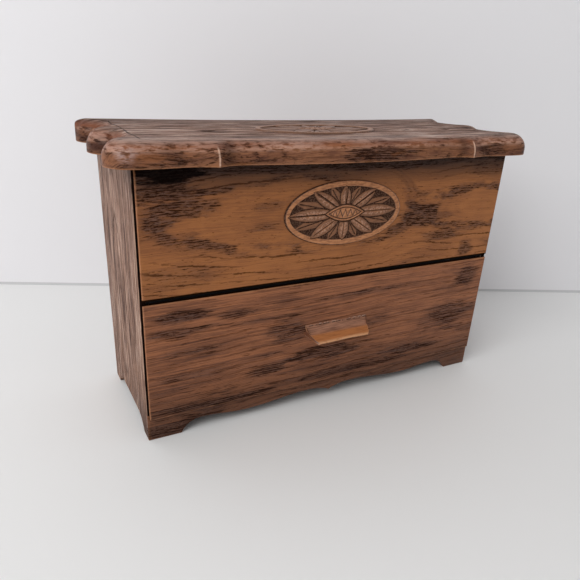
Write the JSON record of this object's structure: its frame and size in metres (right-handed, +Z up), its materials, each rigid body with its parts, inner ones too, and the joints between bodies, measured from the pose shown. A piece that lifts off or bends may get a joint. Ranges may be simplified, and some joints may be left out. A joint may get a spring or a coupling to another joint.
{
  "type": "tabletop drawer storage box",
  "caption": "Woodgrain tabletop chest with a hinged shaped lid over an open compartment, a drawer below and an arched plinth.",
  "frame": {"origin": "on the ground under the middle of the whole object's box", "axes": "+X to the right seen from the front, +Y to the back, +Z up; the drawer faces -Y"},
  "size_m": [0.3252, 0.1224, 0.2035],
  "materials": {
    "front_woodgrain": "satin moulded woodgrain, red-brown with near-black grain",
    "side_woodgrain": "satin moulded woodgrain, greyer brown, grain upright",
    "lid_woodgrain": "satin moulded woodgrain, worn orange-brown on its rounded edge",
    "carved_medallion": "satin moulded carving, dark in its sunk ground",
    "worn_pull": "satin, worn pale along its edge",
    "plain_inside": "plain brown, unfinished",
    "hinge_brass": "brushed, slightly dulled",
    "screw_steel": "plain slotted screw heads"
  },
  "bodies": {
    "carcass": {"left_side_panel": "side_woodgrain", "right_side_panel": "side_woodgrain", "back_panel": "side_woodgrain", "front_plinth": "front_woodgrain", "base_panel": "plain_inside", "compartment_floor": "plain_inside", "left_runner": "plain_inside", "right_runner": "plain_inside", "drawer_stop": "plain_inside", "upper_front_panel": "front_woodgrain", "front_medallion": "carved_medallion", "hinge_left_body_leaf": "hinge_brass", "hinge_right_body_leaf": "hinge_brass", "hinge_left_pin": "hinge_brass", "hinge_right_pin": "hinge_brass", "hinge_body_screws": "screw_steel"},
    "drawer": {"drawer_front": "front_woodgrain", "drawer_inner_front": "plain_inside", "drawer_bottom": "plain_inside", "drawer_left_wall": "plain_inside", "drawer_right_wall": "plain_inside", "drawer_back_wall": "plain_inside", "drawer_pull": "worn_pull", "drawer_front_screws": "screw_steel", "pull_screws": "screw_steel"},
    "lid": {"lid_panel": "lid_woodgrain", "lid_medallion": "carved_medallion", "hinge_left_lid_leaf": "hinge_brass", "hinge_right_lid_leaf": "hinge_brass", "hinge_lid_screws": "screw_steel"}
  },
  "joints": [
    {"name": "drawer_slide", "type": "slide", "parent": "carcass", "child": "drawer", "axis": [0, -1, 0], "range_m": [0, 0.075]},
    {"name": "lid_hinge", "type": "hinge", "parent": "carcass", "child": "lid", "pos_m": [0, 0.05954, 0.1883], "axis": [-1, 0, 0], "range_deg": [0, 95]}
  ]
}
